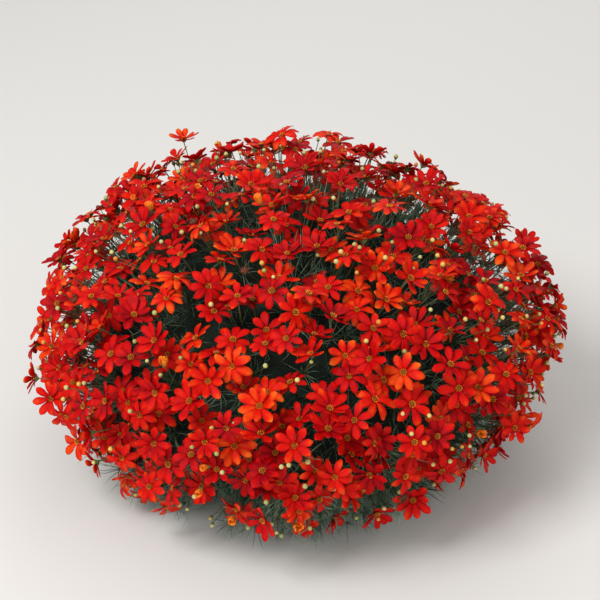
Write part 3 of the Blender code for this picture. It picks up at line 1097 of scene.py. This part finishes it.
bpy.ops.object.select_all(action="DESELECT")
bpy.ops.mesh.primitive_cone_add(
    vertices=6, radius1=CUP_FOOT, radius2=CUP_RIM, depth=CUP_DEPTH, location=(0, 0, -0.0021)
)
bud_cup_model = start_piece("bud_cup_model")
bpy.ops.object.mode_set(mode="OBJECT")
bpy.ops.object.transform_apply(location=True, rotation=True, scale=True)
coat(bud_cup_model, calyx_green)

# A branch of the stem, which joins it where a short way inwards meets it best
BRANCH_RADIUS = 0.00075
BRANCH_STEPS = 3
BRANCH_TAPER = 0.92
BRANCH_INWARDS = 0.042
FORK_SHARES = (0.7, 0.8)

bpy.ops.object.select_all(action="DESELECT")
bpy.ops.mesh.primitive_circle_add(vertices=3, radius=BRANCH_RADIUS, fill_type="NGON")
branch_model = start_piece("branch_model")
bpy.ops.mesh.select_all(action="SELECT")
for _ in range(BRANCH_STEPS):
    bpy.ops.mesh.extrude_region_move(TRANSFORM_OT_translate={"value": (0, 0, 1 / BRANCH_STEPS)})
    bpy.ops.transform.resize(value=(BRANCH_TAPER, BRANCH_TAPER, 1.0), center_override=(0, 0, 0))
bpy.ops.mesh.select_all(action="SELECT")
bpy.ops.mesh.normals_make_consistent(inside=False)
bpy.ops.object.mode_set(mode="OBJECT")
coat(branch_model, stem_green)

forks = [on_stem(matrix, share) for matrix, _ in every_stem for share in FORK_SHARES]


def branch_to(neck):
    """Places the branch model from the best fork of a stem to this neck."""
    inward = (CROWN_CENTRE - neck).normalized() * BRANCH_INWARDS
    fork = min(forks, key=lambda point: (point - neck - inward).length)
    return ray(stood(fork, (neck - fork).normalized()), (neck - fork).length)


bud_places = []
branch_places = []
for tip, facing in bud_spots:
    shade = bud_rng.random()
    bud_places.append((stood(tip, facing, bud_rng.uniform(0, 6.0), bud_rng.uniform(0.8, 1.15)), shade))
    branch_places.append((branch_to(tip - facing * 0.0034), shade))
bud_piece = grown("buds", [(bud_model, bud_places)])
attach(bud_piece, "root")
bud_stalks = grown("bud_stalks", [(bud_cup_model, bud_places), (branch_model, branch_places)])
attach(bud_stalks, "root")

# The opening and spent heads. Here and there a bud is breaking, with its petals still furled upright and
# yellow orange, and a bloom that is over hangs its shrunken maroon petals. Both stand on branches.
HEAD_TRIES = 52
HEAD_LOWEST = 0.030
SPENT_SIZE = (0.010, 0.013)
OPENING_SIZE = (0.009, 0.013)
NECK_BELOW = 0.20

petal_spent, paint, shader = new_finish("spent petal", 0.75, 0.10)
wither = paint.noise(350.0, 2.0)
dress(paint, shader, wither.mixed((0.050, 0.008, 0.008, 1), (0.220, 0.065, 0.035, 1)), None, wither, 0.0006)
opening_orange, paint, shader = new_finish("opening orange", 0.5, 0.15)
length = paint.petal_share(0)
dress(paint, shader, length.mixed((0.62, 0.300, 0.030, 1), (0.90, 0.200, 0.012, 1)))
opening_models = [bloom_model("opening_model_" + str(seed), 7, 0.95, -0.10, seed, 0.30) for seed in (31, 32)]
spent_models = [bloom_model("spent_model_" + str(seed), 7, -0.25, 0.42, seed, 0.42) for seed in (41, 42)]
for models, finish in ((opening_models, opening_orange), (spent_models, petal_spent)):
    for model in models:
        coat(model, finish, finish)
head_rng = random.Random(17)
opening_places = []
spent_places = []
head_branches = []
for number in range(HEAD_TRIES):
    azimuth = head_rng.uniform(-math.pi, math.pi)
    tip, normal = dome_point(azimuth, random_level(head_rng), head_rng.uniform(-0.004, 0.010))
    if tip.z > HEAD_LOWEST:
        lean = Vector([head_rng.uniform(-0.5, 0.5) for _ in range(3)])
        facing = (normal + Vector((0, 0, 0.5)) + lean).normalized()
        spent = number % 5 < 2
        size = head_rng.uniform(*(SPENT_SIZE if spent else OPENING_SIZE))
        where = stood(tip, facing, head_rng.uniform(0, 6.0), size)
        (spent_places if spent else opening_places).append((where, head_rng.uniform(0.75, 1.0)))
        head_branches.append((branch_to(tip - facing * NECK_BELOW * size), 0.6))
opening = grown("opening_heads", [
    (opening_models[0], opening_places[::2]),
    (opening_models[1], opening_places[1::2]),
])
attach(opening, "root")
spent = grown("spent_heads", [
    (spent_models[0], spent_places[::2]),
    (spent_models[1], spent_places[1::2]),
])
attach(spent, "root")
head_stalks = grown("head_stalks", [
    (calyx_model, opening_places + spent_places),
    (branch_model, head_branches),
])
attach(head_stalks, "root")

for model in [stem_model, disc_model, floret_model, calyx_model, bud_model, bud_cup_model, branch_model]:
    bpy.data.objects.remove(model)
for model in whorls + bloom_models + opening_models + spent_models:
    bpy.data.objects.remove(model)

# The floor, the light and the camera. A plain pale floor, a soft lamp high at the left, weaker ones at the
# right, behind and low in front, and the camera at the height from which the photograph looks down.
FLOOR_SIZE = 12
LAMP_AIM = Vector((0, 0, 0.12))
AIM = Vector((0.008, 0.0, 0.184))
CAMERA_RISE = math.radians(31.0)
CAMERA_DISTANCE = 1.90
CAMERA_ANGLE = math.radians(20.6)

bpy.ops.object.select_all(action="DESELECT")
bpy.ops.mesh.primitive_plane_add(size=FLOOR_SIZE, location=(0, 0, 0))
floor = bpy.context.object
floor.name = "floor"
pale, paint, shader = new_finish("pale floor", 0.8)
shader.inputs["Base Color"].default_value = (0.72, 0.71, 0.69, 1)
coat(floor, pale)

world = bpy.data.worlds.new("studio")
bpy.context.scene.world = world
bpy.context.scene.view_settings.view_transform = "Standard"
world.use_nodes = True
world.node_tree.nodes["Background"].inputs["Color"].default_value = (1.0, 0.98, 0.95, 1)
world.node_tree.nodes["Background"].inputs["Strength"].default_value = 0.50


def lamp(name, place, size, power):
    """An area lamp of this many watts, turned to the clump."""
    light = bpy.data.lights.new(name, "AREA")
    light.size = size
    light.energy = power
    made = bpy.data.objects.new(name, light)
    made.location = place
    made.rotation_euler = (LAMP_AIM - place).to_track_quat("-Z", "Y").to_euler()
    bpy.context.scene.collection.objects.link(made)


lamp("key", Vector((-1.3, -1.2, 2.4)), 1.2, 62)
lamp("fill", Vector((1.8, -1.6, 1.4)), 2.0, 12)
lamp("back", Vector((0.4, 2.0, 1.8)), 1.6, 14)
lamp("low front", Vector((-0.3, -2.4, 0.35)), 1.2, 9)

view = bpy.data.cameras.new("camera")
view.angle = CAMERA_ANGLE
camera = bpy.data.objects.new("camera", view)
camera.location = AIM + CAMERA_DISTANCE * Vector((0, -math.cos(CAMERA_RISE), math.sin(CAMERA_RISE)))
camera.rotation_euler = (AIM - camera.location).to_track_quat("-Z", "Y").to_euler()
bpy.context.scene.collection.objects.link(camera)
bpy.context.scene.camera = camera
